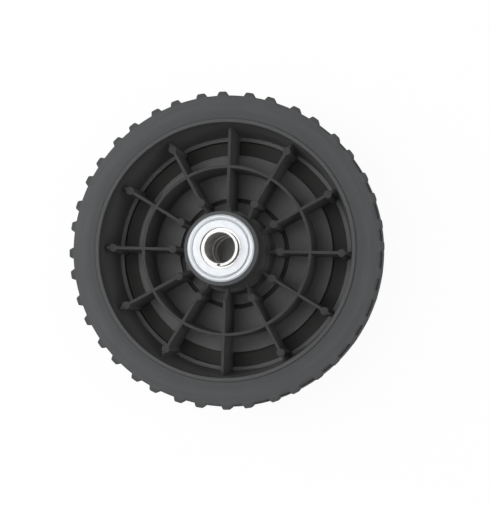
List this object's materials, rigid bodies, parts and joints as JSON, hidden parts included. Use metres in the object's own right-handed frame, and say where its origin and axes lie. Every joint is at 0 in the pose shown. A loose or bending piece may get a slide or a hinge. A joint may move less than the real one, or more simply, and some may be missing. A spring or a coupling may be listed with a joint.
{
  "type": "wheel",
  "caption": "Ribbed black plastic wheel with a lugged rubber tyre, turning on flanged ball bearings and a rolled steel axle sleeve.",
  "frame": {"origin": "on the axle's line, level with the rim's outer edge, on which the wheel lies", "axes": "+Z along the axle towards the machine, out of the ribbed side; +X along one rib"},
  "size_m": [0.1998, 0.1998, 0.066],
  "materials": {
    "rim_plastic": "moulded, matte, lightly dusty",
    "tyre_rubber": "matte moulded rubber",
    "bearing_zinc": "bright zinc plate on pressed steel",
    "race_steel": "ground steel",
    "cage_steel": "pressed steel",
    "sleeve_steel": "rolled steel, zinc plated",
    "ball_steel": "polished"
  },
  "bodies": {
    "axle_sleeve": {"inboard_sleeve": "sleeve_steel", "outboard_sleeve": "sleeve_steel", "inboard_inner_race": "race_steel", "outboard_inner_race": "race_steel"},
    "wheel": {"rim": "rim_plastic", "tyre": "tyre_rubber", "inboard_cup": "bearing_zinc", "outboard_cup": "bearing_zinc", "inboard_face_plate": "bearing_zinc", "outboard_face_plate": "bearing_zinc"},
    "inboard_ball_set": {"inboard_cage": "cage_steel", "inboard_ball_1": "ball_steel", "inboard_ball_2": "ball_steel", "inboard_ball_3": "ball_steel", "inboard_ball_4": "ball_steel", "inboard_ball_5": "ball_steel", "inboard_ball_6": "ball_steel", "inboard_ball_7": "ball_steel"},
    "outboard_ball_set": {"outboard_cage": "cage_steel", "outboard_ball_1": "ball_steel", "outboard_ball_2": "ball_steel", "outboard_ball_3": "ball_steel", "outboard_ball_4": "ball_steel", "outboard_ball_5": "ball_steel", "outboard_ball_6": "ball_steel", "outboard_ball_7": "ball_steel"}
  },
  "joints": [
    {"name": "wheel_spin", "type": "hinge", "parent": "axle_sleeve", "child": "wheel", "pos_m": [0, 0, 0.025], "axis": [0, 0, 1], "continuous": true},
    {"name": "inboard_ball_orbit", "type": "hinge", "parent": "axle_sleeve", "child": "inboard_ball_set", "pos_m": [0, 0, 0.0565], "axis": [0, 0, 1], "continuous": true},
    {"name": "outboard_ball_orbit", "type": "hinge", "parent": "axle_sleeve", "child": "outboard_ball_set", "pos_m": [0, 0, 0.0319], "axis": [0, 0, 1], "continuous": true}
  ],
  "couplings": [
    {"joint": "inboard_ball_orbit", "follows": "wheel_spin", "ratio": 0.56948},
    {"joint": "outboard_ball_orbit", "follows": "wheel_spin", "ratio": 0.56948}
  ]
}
